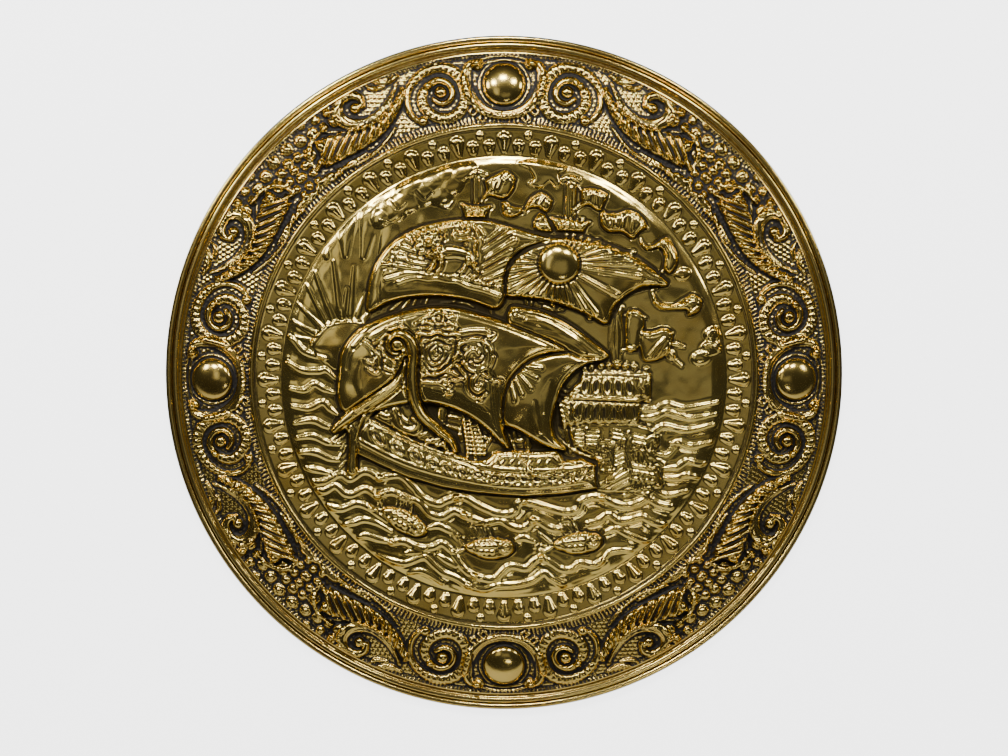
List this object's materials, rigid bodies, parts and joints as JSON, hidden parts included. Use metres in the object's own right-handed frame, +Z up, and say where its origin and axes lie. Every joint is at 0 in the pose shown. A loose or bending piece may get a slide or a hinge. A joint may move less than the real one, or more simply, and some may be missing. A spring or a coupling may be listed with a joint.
{
  "type": "wall plaque",
  "caption": "Round pressed-brass wall plaque: a ship under full sail in relief inside a beaded ring and a scrolled border, with a rolled edge and a hanger strap behind.",
  "frame": {"origin": "where the wall nail carries the hanger strap: the top of the nail hole, on the strap's back face", "axes": "+Z up, +Y towards the wall, so the relief faces -Y; +X to the right of a viewer who faces the relief"},
  "size_m": [0.61, 0.0372, 0.61],
  "materials": {
    "aged_brass": "polished high points, brown and blue-grey patina in the hollows",
    "plain_brass": "dull, unpolished"
  },
  "bodies": {
    "root": {"plaque_sheet": "aged_brass", "hanger_strap": "plain_brass"}
  },
  "joints": []
}
